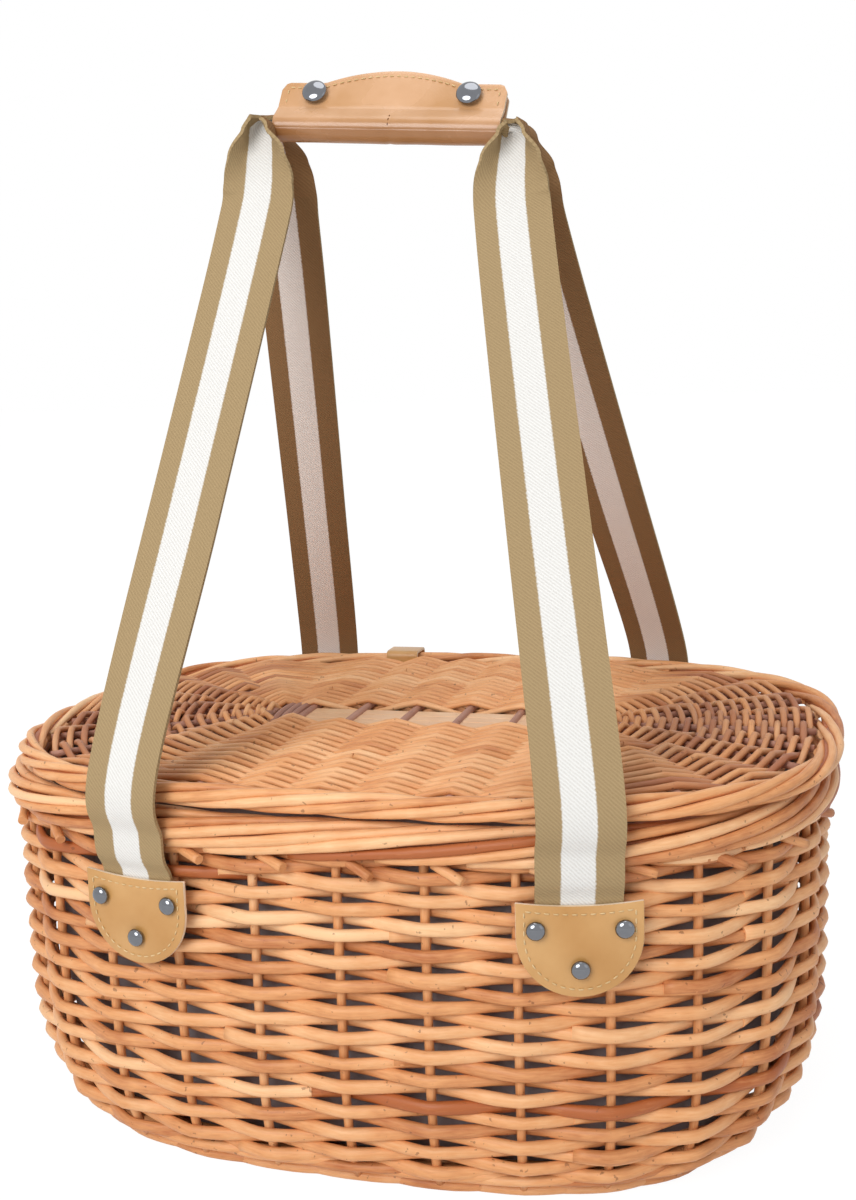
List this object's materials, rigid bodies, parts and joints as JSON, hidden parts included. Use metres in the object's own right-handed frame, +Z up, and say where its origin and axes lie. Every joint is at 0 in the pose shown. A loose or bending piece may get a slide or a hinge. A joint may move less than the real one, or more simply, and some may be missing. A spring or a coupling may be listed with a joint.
{
  "type": "picnic basket",
  "caption": "Oval woven willow picnic basket with a hinged lid, a cloth lining and webbing handle straps that meet in a snapped leather grip.",
  "frame": {"origin": "on the floor, under the middle of the basket's oval", "axes": "+Z up, +X to the right along the oval, front of the basket towards -Y, hinge at +Y"},
  "size_m": [0.4391, 0.3369, 0.5321],
  "materials": {
    "buff_willow": "satin buff willow",
    "brown_willow": "satin brown willow",
    "peeled_willow": "pale split willow",
    "lining_cloth": "plain cotton",
    "leather": "glossy tan leather",
    "webbing": "striped cotton webbing",
    "chrome": "polished",
    "washer_steel": "plain"
  },
  "bodies": {
    "basket": {"base_spine": "peeled_willow", "base_cross_sticks": "brown_willow", "base_end_sticks": "brown_willow", "base_weave": "buff_willow", "bottom_wale": "buff_willow", "side_stakes": "buff_willow", "wall_weave": "buff_willow", "rim_border": "buff_willow", "lining": "lining_cloth", "front_tabs": "leather", "rear_tabs": "leather", "tab_rivets": "chrome", "hinge_rivets": "chrome", "rivet_washers": "washer_steel", "webbing_ends": "webbing", "basket_hinge_straps": "leather"},
    "lid": {"lid_spine": "peeled_willow", "lid_cross_sticks": "brown_willow", "lid_end_sticks": "brown_willow", "lid_weave": "buff_willow", "lid_border": "buff_willow", "lid_hinge_loops": "leather"},
    "front_handle": {"front_webbing": "webbing"},
    "rear_handle": {"rear_webbing": "webbing", "grip_wrap": "leather", "snap_studs": "washer_steel"},
    "grip_flap": {"grip_flap": "leather", "snap_caps": "chrome"}
  },
  "joints": [
    {"name": "lid_hinge", "type": "hinge", "parent": "basket", "child": "lid", "pos_m": [0.005, 0.16905, 0.1831], "axis": [-1, 0, 0], "range_deg": [0, 105]},
    {"name": "front_handle_swing", "type": "hinge", "parent": "basket", "child": "front_handle", "pos_m": [0, -0.16352, 0.15225], "axis": [1, 0, 0], "range_deg": [0, 126]},
    {"name": "rear_handle_swing", "type": "hinge", "parent": "basket", "child": "rear_handle", "pos_m": [0, 0.16089, 0.15225], "axis": [-1, 0, 0], "range_deg": [0, 105]},
    {"name": "grip_flap_open", "type": "hinge", "parent": "rear_handle", "child": "grip_flap", "pos_m": [-0.00848, -0.01398, 0.499], "axis": [0.9962, 0, -0.0872], "range_deg": [0, 126]}
  ],
  "couplings": [
    {"joint": "front_handle_swing", "follows": "lid_hinge", "ratio": 1.2},
    {"joint": "rear_handle_swing", "follows": "lid_hinge", "ratio": 1},
    {"joint": "grip_flap_open", "follows": "lid_hinge", "ratio": 1.2}
  ]
}
